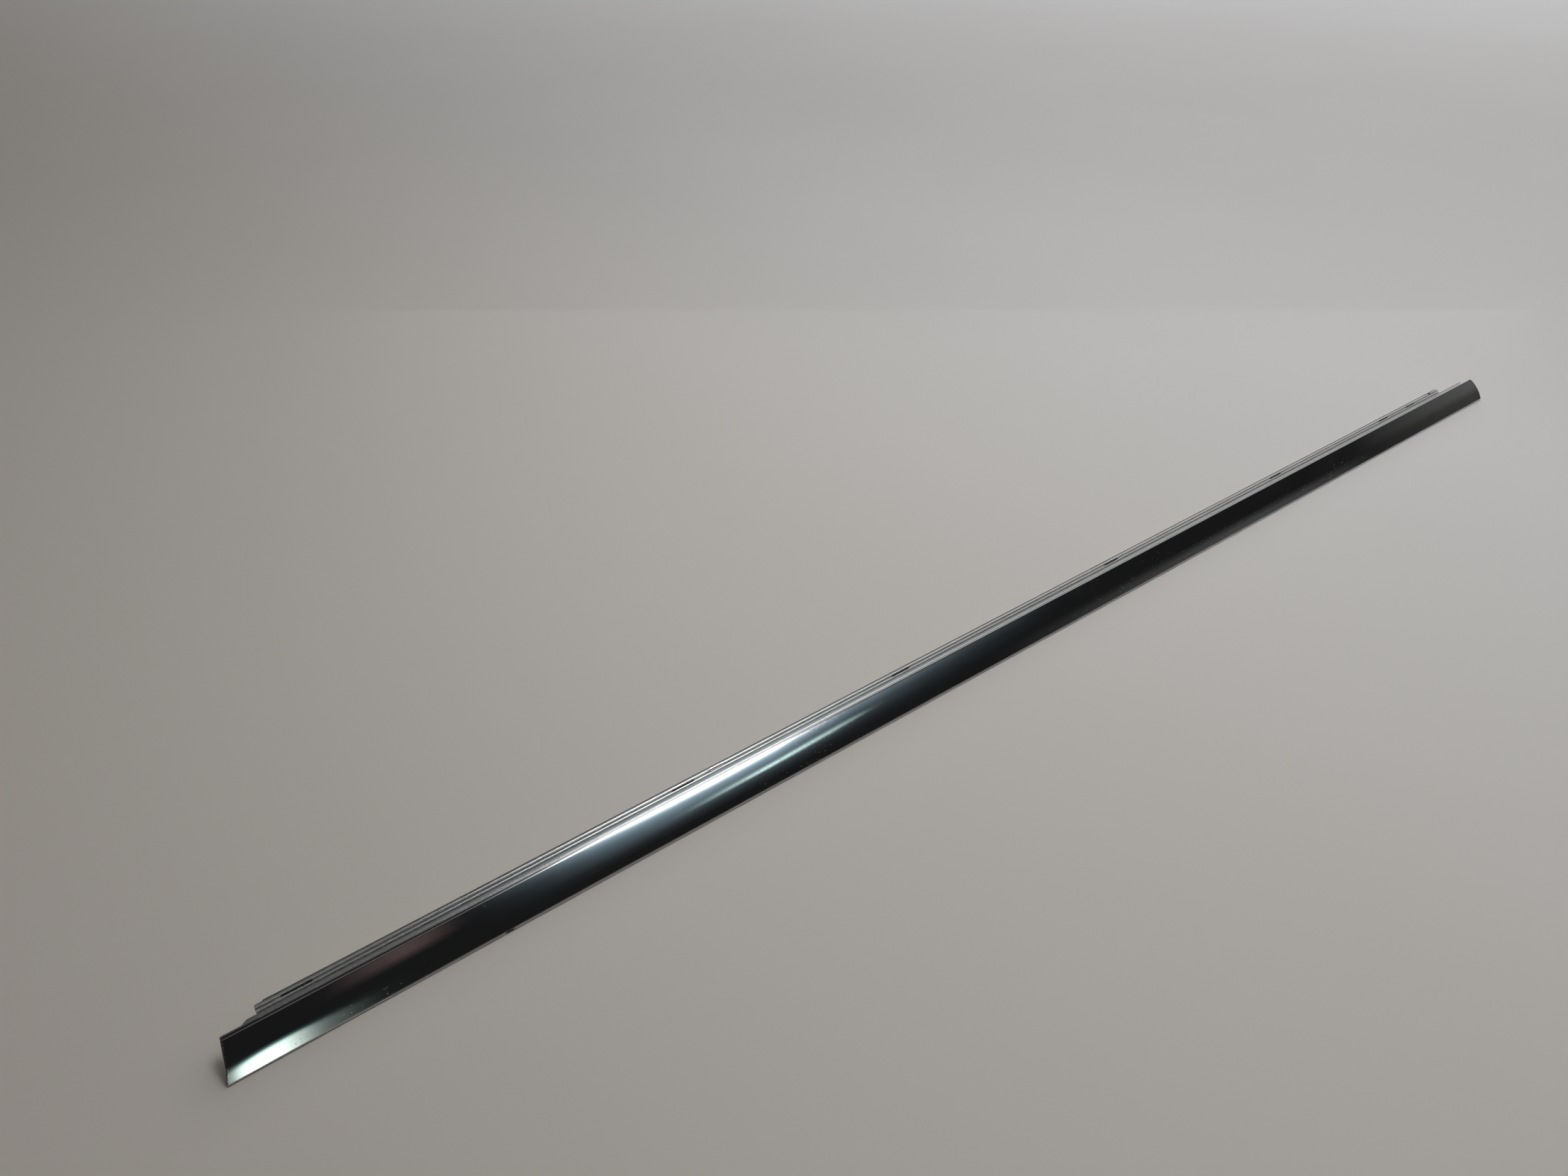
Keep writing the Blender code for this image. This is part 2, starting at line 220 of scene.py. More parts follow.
def corner_arc(before, corner, after, radius, steps):
    """A smooth bend through one corner of a path."""
    a = Vector(before) - Vector(corner)
    b = Vector(after) - Vector(corner)
    inner = a.angle(b)
    setback = min(radius / math.tan(inner / 2), 0.48 * a.length, 0.48 * b.length)
    a.normalize()
    b.normalize()
    bend = []
    for step in range(steps + 1):
        t = step / steps
        point = Vector(corner) + setback * (a * (1 - t) ** 2 + b * t**2)
        bend.append((point.x, point.y))
    return bend


def rounded(points, radius, steps=8):
    """An open path with its inner corners bent."""
    path = [points[0]]
    for before, corner, after in zip(points, points[1:], points[2:]):
        path += corner_arc(before, corner, after, radius, steps)
    path.append(points[-1])
    return path


def rounded_loop(points, radius, steps=5):
    """A closed outline with all its corners bent."""
    count = len(points)
    path = []
    for index, corner in enumerate(points):
        path += corner_arc(points[index - 1], corner, points[(index + 1) % count], radius, steps)
    return path


def linked(name, mesh, finish=None):
    """A new object in the scene, with its one material."""
    made = bpy.data.objects.new(name, mesh)
    bpy.context.scene.collection.objects.link(made)
    if finish:
        mesh.materials.clear()
        mesh.materials.append(finish)
    return made


def prism_mesh(name, outline, matrix, depth):
    """A closed outline in local XY, swept along local Z through depth, then moved by matrix."""
    work = bmesh.new()
    low = [work.verts.new(matrix @ Vector((x, y, -depth / 2))) for x, y in outline]
    high = [work.verts.new(matrix @ Vector((x, y, depth / 2))) for x, y in outline]
    work.faces.new(low)
    work.faces.new(high)
    count = len(outline)
    for index in range(count):
        after = (index + 1) % count
        work.faces.new((low[index], low[after], high[after], high[index]))
    bmesh.ops.recalc_face_normals(work, faces=work.faces)
    mesh = bpy.data.meshes.new(name)
    work.to_mesh(mesh)
    work.free()
    return mesh


def rail_mesh(name, outline, start, end):
    """A closed Y-Z section swept along the strip between two distances from the left end."""
    middle = (along(start) + along(end)) / 2
    axes = Matrix(((0, 0, 1, middle), (1, 0, 0, 0), (0, 1, 0, 0), (0, 0, 0, 1)))
    return prism_mesh(name, outline, axes, end - start)


def strip_mesh(name, path, half_widths, stations=1):
    """An open sheet across X that follows a path in Y and Z."""
    work = bmesh.new()
    rows = []
    for (y, z), half in zip(path, half_widths):
        row = [work.verts.new((half * (2 * s / stations - 1), y, z)) for s in range(stations + 1)]
        rows.append(row)
    for row, after in zip(rows, rows[1:]):
        for s in range(stations):
            work.faces.new((row[s], row[s + 1], after[s + 1], after[s]))
    mesh = bpy.data.meshes.new(name)
    work.to_mesh(mesh)
    work.free()
    return mesh


def settle(made, name, finish=None):
    """The object with its modifiers applied, as a new clean one."""
    bpy.context.view_layer.update()
    evaluated = made.evaluated_get(bpy.context.evaluated_depsgraph_get())
    mesh = bpy.data.meshes.new_from_object(evaluated)
    mesh.name = name
    bpy.data.objects.remove(made, do_unlink=True)
    return linked(name, mesh, finish)


def solidify(made, thickness, offset):
    shell = made.modifiers.new("sheet", "SOLIDIFY")
    shell.thickness = thickness
    shell.offset = offset
    shell.use_even_offset = True


def cut(made, tool, operation="DIFFERENCE"):
    step = made.modifiers.new(tool.name, "BOOLEAN")
    step.operation = operation
    step.solver = "EXACT"
    step.object = tool


def soften(made, width, angle=40):
    """Broken edges where faces meet at more than the angle."""
    edge = made.modifiers.new("edges", "BEVEL")
    edge.width = width
    edge.segments = 2
    edge.limit_method = "ANGLE"
    edge.angle_limit = math.radians(angle)


def shade(made):
    """Smooth along the bends, flat on flat faces."""
    made.data.shade_smooth()
    made.data.set_sharp_from_angle(angle=math.radians(20))


def knife(name, outline, reach):
    """A cutting prism with its outline in (distance from the left end, p), and q in reach."""
    q_low, q_high = reach
    middle = (q_low + q_high) / 2
    y, z = lean(0, middle)
    place = Matrix.Translation((0, y + SHIFT_Y, z)) @ Matrix.Rotation(LEAN, 4, "X")
    flat = [(along(x), p) for x, p in outline]
    return linked(name, prism_mesh(name, flat, place, q_high - q_low))


def oblong(centre, across, length, width, radius, steps=5):
    """A slot outline with rounded corners."""
    left = centre - length / 2 + radius
    right = centre + length / 2 - radius
    low = across - width / 2 + radius
    high = across + width / 2 - radius
    outline = []
    for x, p, start in ((right, low, -90), (right, high, 0), (left, high, 90), (left, low, 180)):
        outline += arc((x, p), radius, start, start + 90, steps)
    return outline


def remove(objects):
    for used in objects:
        bpy.data.objects.remove(used, do_unlink=True)


# ---------------------------------------------------------------- material helpers


class Nodes:
    """A short way to build one material's node tree."""

    def __init__(self, name):
        self.material = bpy.data.materials.new(name)
        self.material.use_nodes = True
        self.tree = self.material.node_tree
        self.shader = self.tree.nodes["Principled BSDF"]
        self.where = self.add("ShaderNodeTexCoord").outputs["Object"]

    def add(self, kind, **settings):
        node = self.tree.nodes.new(kind)
        for key, value in settings.items():
            setattr(node, key, value)
        return node

    def join(self, source, target):
        self.tree.links.new(source, target)

    def feed(self, value, target):
        """A number, a colour or another node's output, given to a socket."""
        if isinstance(value, (int, float)):
            target.default_value = value
        elif isinstance(value, tuple):
            target.default_value = (*value, 1)
        else:
            self.join(value, target)

    def scaled(self, x, y, z, turn=(0, 0, 0)):
        mapping = self.add("ShaderNodeMapping")
        mapping.inputs["Scale"].default_value = (x, y, z)
        mapping.inputs["Rotation"].default_value = turn
        self.join(self.where, mapping.inputs["Vector"])
        return mapping.outputs["Vector"]

    def parted(self, vector):
        """The X, Y and Z outputs of a vector."""
        split = self.add("ShaderNodeSeparateXYZ")
        self.join(vector, split.inputs["Vector"])
        return split.outputs

    def chord(self):
        """Distance p up the face's chord, in millimetres."""
        axes = self.parted(self.where)
        across = self.maths("SUBTRACT", axes["Y"], SHIFT_Y)
        across = self.maths("MULTIPLY", across, math.sin(LEAN) / MM)
        up = self.maths("SUBTRACT", axes["Z"], SHIFT_Z)
        up = self.maths("MULTIPLY", up, math.cos(LEAN) / MM)
        return self.maths("ADD", across, up)

    def rightwards(self, low, high, to_low, to_high):
        """A number that changes along X."""
        return self.range(self.parted(self.where)["X"], low, high, to_low, to_high)

    def painted_light_ramp(self):
        """Painted light: a ramp along X, low at the left end and high to the right; it makes the
        metal duller and more diffuse to the right so it reads brighter there, standing in for how
        the light falls along the strip.
        """
        return self.rightwards(-0.45, 0.12, 0.1, 1.0)

    def noise(self, vector, scale, detail=4.0, roughness=0.5, distortion=0.0):
        node = self.add("ShaderNodeTexNoise")
        node.inputs["Scale"].default_value = scale
        node.inputs["Detail"].default_value = detail
        node.inputs["Roughness"].default_value = roughness
        node.inputs["Distortion"].default_value = distortion
        self.join(vector, node.inputs["Vector"])
        return node.outputs["Fac"]

    def cells(self, vector, scale):
        """Distance from the nearest of scattered points."""
        node = self.add("ShaderNodeTexVoronoi")
        node.inputs["Scale"].default_value = scale
        self.join(vector, node.inputs["Vector"])
        return node.outputs["Distance"]

    def ramp(self, value, stops):
        """A colour, or a grey given as one number, between stops of (position, colour)."""
        node = self.add("ShaderNodeValToRGB")
        elements = node.color_ramp.elements
        elements[0].position = stops[0][0]
        elements[1].position = stops[-1][0]
        for position, _ in stops[1:-1]:
            elements.new(position)
        for position, colour in stops:
            nearest = min(elements, key=lambda element: abs(element.position - position))
            channels = colour if isinstance(colour, tuple) else (colour, colour, colour)
            nearest.color = (*channels, 1)
        self.join(value, node.inputs["Fac"])
        return node.outputs["Color"]

    def fade(self, value, low, high):
        """White above a soft threshold between low and high, black below it."""
        return self.ramp(value, [(0.0, 0.0), (low, 0.0), (high, 1.0), (1.0, 1.0)])

    def range(self, value, low, high, to_low, to_high):
        node = self.add("ShaderNodeMapRange")
        names = ("From Min", "From Max", "To Min", "To Max")
        for name, number in zip(names, (low, high, to_low, to_high)):
            node.inputs[name].default_value = number
        self.join(value, node.inputs["Value"])
        return node.outputs["Result"]

    def maths(self, operation, a, b):
        node = self.add("ShaderNodeMath", operation=operation)
        self.feed(a, node.inputs[0])
        self.feed(b, node.inputs[1])
        return node.outputs["Value"]

    def mix(self, factor, a, b, kind="RGBA"):
        """A colour that goes from a to b as factor goes from 0 to 1."""
        node = self.add("ShaderNodeMix", data_type=kind)
        for name, value in (("Factor", factor), ("A", a), ("B", b)):
            self.feed(value, node.inputs[name])
        return node.outputs["Result"]

    def blend(self, factor, a, b):
        """A number that goes from a to b as factor goes from 0 to 1."""
        return self.mix(factor, a, b, "FLOAT")

    def bump(self, height, strength, distance, under=None):
        node = self.add("ShaderNodeBump")
        node.inputs["Strength"].default_value = strength
        node.inputs["Distance"].default_value = distance
        self.join(height, node.inputs["Height"])
        if under is not None:
            self.join(under, node.inputs["Normal"])
        return node.outputs["Normal"]

    def set(self, name, value):
        self.feed(value, self.shader.inputs[name])


# ---------------------------------------------------------------- materials


def bright_metal():
    """Mirror-polished cover: faint lengthwise polish, hairline scratches, dust and dried drops."""
    m = Nodes("bright_cover_polished")
    polish = m.noise(m.scaled(30, 9000, 9000), 1.0, 3, 0.6)
    patches = m.noise(m.scaled(18, 60, 60), 1.0, 4, 0.55)
    hairs = m.noise(m.scaled(900, 14, 900, (0, 0.5, 0.12)), 1.0, 2, 0.4, 0.3)
    hair_mask = m.fade(hairs, 0.705, 0.72)
    dust = m.range(m.cells(m.scaled(1, 1, 1), 460), 0.07, 0.13, 1.0, 0.0)
    dusty = m.fade(m.noise(m.scaled(9, 70, 70), 1.0, 3), 0.52, 0.68)
    specks = m.maths("MULTIPLY", dust, dusty)
    frost = m.range(m.noise(m.scaled(1300, 520, 520), 1.0, 5, 0.75), 0.38, 0.68, 0.0, 1.0)
    where_touched = m.range(m.noise(m.scaled(26, 90, 90), 1.0, 3), 0.35, 0.62, 0.0, 1.0)
    smudged = m.maths("MULTIPLY", frost, where_touched)
    roughness = m.range(patches, 0.3, 0.7, 0.035, 0.065)
    roughness = m.maths("ADD", roughness, m.maths("MULTIPLY", polish, 0.02))
    handled = m.maths("MULTIPLY", smudged, m.rightwards(-0.44, -0.37, 0.08, 0.75))
    roughness = m.blend(handled, roughness, 0.22)
    roughness = m.blend(m.maths("MULTIPLY", hair_mask, 0.3), roughness, 0.25)
    roughness = m.blend(m.maths("MULTIPLY", specks, 0.8), roughness, 0.7)
    tone = m.mix(patches, (0.60, 0.61, 0.625), (0.64, 0.645, 0.65))
    colour = m.mix(m.maths("MULTIPLY", specks, 0.7), tone, (0.45, 0.44, 0.42))
    metal = m.maths("SUBTRACT", 1.0, m.maths("MULTIPLY", specks, 0.6))
    flange = m.range(m.chord(), 21.0, 21.3, 0.0, 1.0)
    m.set("Base Color", m.mix(flange, colour, (0.70, 0.70, 0.70)))
    # Painted light: the flange's metallic and roughness follow the ramp along X, so the flange
    # reads brighter to the right.
    painted_light_ramp = m.painted_light_ramp()
    m.set("Metallic", m.blend(flange, metal, m.blend(painted_light_ramp, 0.92, 0.4)))
    m.set("Roughness", m.blend(flange, roughness, m.blend(painted_light_ramp, 0.24, 0.4)))
    wave = m.bump(m.noise(m.scaled(22, 90, 90), 1.0, 2), 0.12, 0.0004)
    m.set("Normal", m.bump(polish, 0.02, 0.00004, wave))
    return m.material


def drawn_metal():
    """Carrier rail: satin drawn metal with faint die lines and light grey handling marks."""
    m = Nodes("rail_metal_drawn")
    lines = m.noise(m.scaled(12, 2400, 2400), 1.0, 2, 0.5)
    marks = m.noise(m.scaled(50, 300, 300), 1.0, 4, 0.55)
    grime = m.fade(m.noise(m.scaled(45, 260, 260), 1.0, 4, 0.55), 0.55, 0.75)
    tone = m.mix(marks, (0.69, 0.685, 0.675), (0.76, 0.76, 0.755))
    m.set("Base Color", m.mix(m.maths("MULTIPLY", grime, 0.3), tone, (0.42, 0.40, 0.37)))
    # Painted light: metallic and roughness follow the ramp along X, so the rail reads brighter to
    # the right.
    painted_light_ramp = m.painted_light_ramp()
    m.set("Metallic", m.blend(painted_light_ramp, 0.93, 0.4))
    roughness = m.blend(painted_light_ramp, m.range(lines, 0.3, 0.7, 0.20, 0.28), 0.38)
    m.set("Roughness", m.blend(m.maths("MULTIPLY", grime, 0.4), roughness, 0.5))
    m.set("Normal", m.bump(lines, 0.03, 0.00004, m.bump(marks, 0.05, 0.0001)))
    return m.material


def spring_steel():
    """Clips: black phosphate over spring steel, mottled, with worn brighter scuffs."""
    m = Nodes("spring_steel_phosphated")
    mottle = m.noise(m.scaled(900, 900, 900), 1.0, 6, 0.65)
    scuffs = m.fade(m.noise(m.scaled(300, 1500, 200), 1.0, 4, 0.6), 0.6, 0.72)
    tone = m.mix(mottle, (0.035, 0.034, 0.036), (0.085, 0.082, 0.078))
    m.set("Base Color", m.mix(m.maths("MULTIPLY", scuffs, 0.6), tone, (0.30, 0.29, 0.28)))
    m.set("Metallic", m.blend(scuffs, 0.55, 1.0))
    m.set("Roughness", m.range(mottle, 0.3, 0.7, 0.38, 0.62))
    m.set("Normal", m.bump(mottle, 0.3, 0.00008))
    return m.material


def band_metal():
    """Locator band: bright spring strip with rolling lines across it."""
    m = Nodes("band_metal_bright")
    lines = m.noise(m.scaled(9000, 60, 60), 1.0, 3, 0.6)
    m.set("Base Color", m.mix(lines, (0.48, 0.48, 0.47), (0.66, 0.66, 0.66)))
    m.set("Metallic", 1.0)
    m.set("Roughness", m.range(lines, 0.3, 0.7, 0.12, 0.26))
    m.set("Normal", m.bump(lines, 0.2, 0.00004))
    return m.material


def flocked_rubber():
    """Wiper: matt black rubber with a short flock, greyed by dust."""
    m = Nodes("wiper_flocked")
    flock = m.noise(m.scaled(5200, 5200, 5200), 1.0, 3, 0.7)
    dust = m.noise(m.scaled(120, 500, 500), 1.0, 5, 0.6)
    tone = m.mix(flock, (0.030, 0.029, 0.028), (0.075, 0.072, 0.069))
    m.set("Base Color", m.mix(m.range(dust, 0.4, 0.8, 0.1, 0.6), tone, (0.20, 0.19, 0.18)))
    m.set("Roughness", m.range(flock, 0.3, 0.7, 0.78, 0.98))
    m.set("Sheen Weight", 0.25)
    m.set("Sheen Roughness", 0.5)
    m.set("Normal", m.bump(flock, 0.8, 0.00025))
    return m.material


def seal_rubber():
    """Bedding seal: satin black rubber with extrusion lines and a little bloom."""
    m = Nodes("seal_rubber_satin")
    lines = m.noise(m.scaled(40, 6000, 6000), 1.0, 3, 0.6)
    bloom = m.noise(m.scaled(200, 600, 600), 1.0, 5, 0.6)
    bloomed = m.range(bloom, 0.5, 0.8, 0.0, 0.4)
    m.set("Base Color", m.mix(bloomed, (0.012, 0.012, 0.013), (0.06, 0.06, 0.058)))
    m.set("Roughness", m.range(lines, 0.3, 0.7, 0.42, 0.62))
    m.set("Normal", m.bump(lines, 0.35, 0.00008))
    return m.material


# ---------------------------------------------------------------- pieces


def cover_path():
    """Visible surface of the bright cover, from inside the hem to the edge of the flange."""
    half = math.degrees(FACE_HALF_ANGLE)
    hem = (HEM_RADIUS, HEM_RADIUS)
    path = [(HEM_RETURN, 2 * HEM_RADIUS)] + arc(hem, HEM_RADIUS, 90, 270 - half, 24)
    foot = path[-1]
    chord = FACE_TOP - foot[0]
    radius = chord / (2 * math.sin(FACE_HALF_ANGLE))
    centre = (foot[0] + chord / 2, foot[1] + radius * math.cos(FACE_HALF_ANGLE))
    path += arc(centre, radius, 270 - half, 270 + half, 72)[1:]
    lean_in = (math.sin(FACE_HALF_ANGLE), math.cos(FACE_HALF_ANGLE))
    top = path[-1]
    crest = (top[0] - CREST_RADIUS * lean_in[0], top[1] + CREST_RADIUS * lean_in[1])
    step_lean = math.degrees(STEP_LEAN)
    path += arc(crest, CREST_RADIUS, half - 90, -step_lean, 36)[1:]
    bend_depth = STEP_DEPTH - FLANGE_BEND
    wall_end = bend_depth + FLANGE_BEND * math.sin(STEP_LEAN)
    wall_rise = (wall_end - path[-1][1]) * math.tan(STEP_LEAN)
    bend = (path[-1][0] + wall_rise + FLANGE_BEND * math.cos(STEP_LEAN), bend_depth)
    path += arc(bend, FLANGE_BEND, 180 - step_lean, 90 + math.degrees(FLANGE_LEAN), 12)
    rise = FLANGE_TOP - path[-1][0]
    path.append((FLANGE_TOP, path[-1][1] + rise * math.tan(FLANGE_LEAN)))
    return path


def slant_left_end(mesh):
    """The left end leans with height."""
    for vert in mesh.vertices:
        if vert.co.x < 0:
            vert.co.x += END_SLANT * vert.co.z


def face_cover(finish):
    """Bright cover: one bent sheet, its flange cut back at both ends and its hem notched."""
    path = leaning(cover_path())
    mesh = strip_mesh("cover_sheet", path, [LENGTH / 2] * len(path))
    slant_left_end(mesh)
    shell = linked("cover_sheet", mesh)
    solidify(shell, COVER_SHEET, -1)
    full = FLANGE_START + FLANGE_START_SLANT
    start = [(-BEYOND, FLANGE_FOOT), (FLANGE_START, FLANGE_FOOT)]
    start += [(full, FLANGE_TOP + COVER_SHEET), (full, ABOVE), (-BEYOND, ABOVE)]
    level = FLANGE_END - FLANGE_END_CORNER
    end = [(level - FLANGE_END_DIP, ABOVE), (level, FLANGE_TOP + 0.1 * MM)]
    end += [(FLANGE_END, FLANGE_TOP - FLANGE_END_CORNER), (FLANGE_END, FLANGE_FOOT)]
    end = rounded(end, 0.5 * MM)
    end += [(LENGTH + BEYOND, FLANGE_FOOT), (LENGTH + BEYOND, ABOVE)]
    notch = oblong(NOTCH_AT, 0, NOTCH_LENGTH, NOTCH_WIDTH, NOTCH_CORNER)
    knives = [
        knife("knife_start", start, COVER_CUT),
        knife("knife_end", end, COVER_CUT),
        knife("knife_notch", notch, NOTCH_CUT),
    ]
    for each in knives:
        cut(shell, each)
    soften(shell, COVER_BREAK)
    cover = settle(shell, "bright_face_shell", finish)
    remove(knives)
    shade(cover)
    return cover


def carrier_outline():
    """The rail's section: a web inside the cover, then two ribs with a groove between."""
    foot_front = HEM_RADIUS - WEB_SHEET / 2
    foot_back = HEM_RADIUS + WEB_SHEET / 2
    outline = [(WEB_FOOT, foot_front), (WEB_KNEE, foot_front)]
    outline += [(WEB_TOP, RAIL_SHELF - 0.15 * MM)]
    outline += [(RIB_1[0] - RIB_RADIUS, RAIL_SHELF)]
    outline += arc(RIB_1, RIB_RADIUS, 180, 360, 24)
    outline += [(RIB_1[0] + RIB_RADIUS, GROOVE_FLOOR), (RIB_2[0] - RIB_RADIUS, GROOVE_FLOOR)]
    outline += arc(RIB_2, RIB_RADIUS, 180, 360, 24)
    outline += [(RIB_2[0] + RIB_RADIUS, LEDGE), (RAIL_EDGE, LEDGE), (RAIL_EDGE, RAIL_BACK)]
    outline += [(RIB_1[0] - 2 * RIB_RADIUS, RAIL_BACK)]
    outline += [(WEB_TOP - 0.2 * MM, RAIL_BACK - 0.15 * MM)]
    outline += [(WEB_KNEE + 0.1 * MM, foot_back), (WEB_FOOT, foot_back)]
    return outline


def carrier_rail(finish):
    """Carrier rail, with its ribbed top cut back at both ends, seven slots and an oval hole."""
    mesh = rail_mesh("rail_blank", leaning(carrier_outline()), 0, LENGTH - WEB_END_GAP)
    slant_left_end(mesh)
    blank = linked("rail_blank", mesh)
    corner = (RAIL_START + RAIL_CORNER, RAIL_CORNER_TOP - RAIL_CORNER)
    level = RAIL_START + 2 * RAIL_CORNER
    start = [(-BEYOND, RAIL_SHOULDER), (RAIL_START, RAIL_SHOULDER)]
    start += arc(corner, RAIL_CORNER, 180, 90, 16)
    start += [(level, RAIL_CORNER_TOP + RAIL_CORNER / 3), (level, ABOVE), (-BEYOND, ABOVE)]
    end = [(RAIL_END, RAIL_SHOULDER), (LENGTH + BEYOND, RAIL_SHOULDER)]
    end += [(LENGTH + BEYOND, ABOVE), (RAIL_END, ABOVE)]
    knives = [knife("knife_start", start, RAIL_CUT), knife("knife_end", end, RAIL_CUT)]
    for number, centre in enumerate(SLOT_CENTRES, 1):
        slot = oblong(centre, SLOT_AT, SLOT_LENGTH, SLOT_WIDTH, SLOT_CORNER)
        knives.append(knife(f"knife_slot_{number}", slot, SLOT_CUT))
    hole = oblong(*HOLE_AT, HOLE_LENGTH, HOLE_WIDTH, 0.499 * HOLE_WIDTH, 8)
    knives.append(knife("knife_hole", hole, HOLE_CUT))
    for each in knives:
        cut(blank, each)
    soften(blank, RAIL_BREAK)
    rail = settle(blank, "ribbed_carrier_rail", finish)
    remove(knives)
    shade(rail)
    return rail


def clip_leg_path():
    """From the tongue in the rail's slot, down behind the door flange, to the foot."""
    tip = lean(SLOT_AT, 3.2 * MM)
    neck = lean(SLOT_AT, 5.0 * MM)
    down = [(19.4, 13.0), (17.95, 9.6), (17.95, 4.6), (19.6, 0.225), (21.2, 0.225), (21.9, 1.0)]
    return rounded([tip, neck] + [(y * MM, z * MM) for y, z in down], CLIP_BEND)


def clip_arm_path():
    """From the leg's shoulder, over the door flange and down in front of it."""
    points = [(18.9, 12.1), (16.4, 10.35), (12.9, 8.3), (12.65, 6.9), (12.65, 4.2), (11.9, 3.0)]
    return rounded([(y * MM, z * MM) for y, z in points], CLIP_BEND)


def clip_mesh():
    """One clip at X 0, its leg and arm joined."""
    leg = clip_leg_path()
    widths = [TONGUE_WIDTH / 2 if z > TONGUE_FOOT else CLIP_WIDTH / 2 for _, z in leg]
    leg_sheet = linked("clip_leg", strip_mesh("clip_leg", centred(leg), widths))
    solidify(leg_sheet, CLIP_SHEET, 0)
    arm = clip_arm_path()
    half = CLIP_WIDTH / 2 - ARM_INSET
    arm_sheet = linked("clip_arm", strip_mesh("clip_arm", centred(arm), [half] * len(arm)))
    solidify(arm_sheet, CLIP_SHEET, 0)
    cut(leg_sheet, arm_sheet, "UNION")
    soften(leg_sheet, CLIP_BREAK)
    clip = settle(leg_sheet, "clip_master")
    remove([arm_sheet])
    mesh = clip.data
    bpy.data.objects.remove(clip, do_unlink=True)
    return mesh


def spring_clips(finish):
    """A clip in each slot, each on its own body."""
    master = clip_mesh()
    for number, centre in enumerate(SLOT_CENTRES, 1):
        mesh = master.copy()
        mesh.transform(Matrix.Translation((along(centre), 0, 0)))
        clip = linked(f"clip_{number}_steel", mesh, finish)
        shade(clip)
        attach(clip, f"clip_{number}")
        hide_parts(f"spring_clip_{number}")


def locator_band(finish):
    """Sprung band over the rear rib, pressed into shallow corrugations along its length."""
    radius = RIB_RADIUS + BAND_GAP + BAND_SHEET / 2
    path = [(RIB_2[0] - radius, BAND_FOOT)] + arc(RIB_2, radius, 185, 335, 30)
    widths = [BAND_WIDTH / 2] * len(path)
    mesh = strip_mesh("band_sheet", leaning(path), widths, RIPPLE_STATIONS)
    middle = Vector((0, *leaning([RIB_2])[0]))
    for vert in mesh.vertices:
        ripple = RIPPLE_DEPTH * math.cos(2 * math.pi * vert.co.x / RIPPLE_PITCH)
        outward = Vector((0, vert.co.y - middle.y, vert.co.z - middle.z)).normalized()
        vert.co += outward * ripple
        vert.co.x += along(BAND_AT)
    band_sheet = linked("band_sheet", mesh)
    solidify(band_sheet, BAND_SHEET, 0)
    soften(band_sheet, BAND_BREAK, SOFT_ANGLE)
    band = settle(band_sheet, "rib_locator_band", finish)
    shade(band)
    return band


def wiper_outline():
    """An angle bonded round the rail's rear edge, and a lip that hangs to the glass."""
    inside = RAIL_EDGE + WIPER_GAP
    outside = inside + WIPER_SHEET
    below = RAIL_BACK + WIPER_GAP
    top = [(inside, LEDGE), (outside - WIPER_CORNER, LEDGE)]
    top += [(outside, LEDGE + WIPER_CORNER), (outside, RAIL_BACK)]
    channel = [(WIPER_GRIP, below + WIPER_SHEET), (WIPER_GRIP, below), (inside, below)]
    lip = [(22.75 * MM, 14.8 * MM), (23.3 * MM, 12.7 * MM), (24.3 * MM, 10.8 * MM)]
    lip += [(WIPER_TIP, 9.7 * MM), (24.7 * MM, 9.35 * MM), (23.8 * MM, 10.4 * MM)]
    lip += [(22.7 * MM, 12.4 * MM), (22.1 * MM, 14.6 * MM)]
    section = [lean(p, q) for p, q in top] + lip + [lean(p, q) for p, q in channel]
    return rounded_loop(centred(section), WIPER_BEND)


def glass_wiper(finish):
    mesh = rail_mesh("wiper_blank", wiper_outline(), WIPER_START, WIPER_END)
    blank = linked("wiper_blank", mesh)
    soften(blank, WIPER_BREAK, SOFT_ANGLE)
    wiper = settle(blank, "flocked_glass_wiper", finish)
    shade(wiper)
    return wiper


def bedding_seal(finish):
    """A flat seal behind the hem, with a tab that shows in the hem's notch."""
    back = 2 * HEM_RADIUS + GAP
    strip = [(2.3, 0), (5.6, 0), (6.0, 0.3), (5.4, 0.8), (2.9, 0.8), (2.4, 0.5)]
    section = rounded_loop(leaning([(p * MM, back + q * MM) for p, q in strip]), 0.15 * MM)
    blank = linked("seal_blank", rail_mesh("seal_blank", section, SEAL_START, SEAL_END))
    tab = [(0.75, 0.15), (0.35, 0.35), (0.05, 1.0), (0.3, 1.6), (1.2, 2.5), (2.6, 2.8)]
    tab += [(2.6, 2.35), (1.3, 2.3), (0.75, 1.9)]
    profile = rounded_loop(leaning([(p * MM, q * MM) for p, q in tab]), 0.1 * MM)
    half = NOTCH_LENGTH / 2 - GAP
    lug_mesh = rail_mesh("seal_tab", profile, NOTCH_AT - half, NOTCH_AT + half)
    lug = linked("seal_tab", lug_mesh)
    cut(blank, lug, "UNION")
    soften(blank, SEAL_BREAK, SOFT_ANGLE)
    seal = settle(blank, "rubber_bedding_seal", finish)
    remove([lug])
    shade(seal)
    return seal


def build_strip():
    standing = [
        (face_cover(bright_metal()), "face_cover", "bright_cover"),
        (carrier_rail(drawn_metal()), "carrier_rail", "rail_metal"),
        (locator_band(band_metal()), "locator_band", "band_metal"),
        (glass_wiper(flocked_rubber()), "glass_wiper", "wiper_rubber"),
        (bedding_seal(seal_rubber()), "bedding_seal", "seal_rubber"),
    ]
    for piece, node, slot in standing:
        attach(piece, "strip")
        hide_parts(node)
    spring_clips(spring_steel())


# ---------------------------------------------------------------- floor, lights, camera


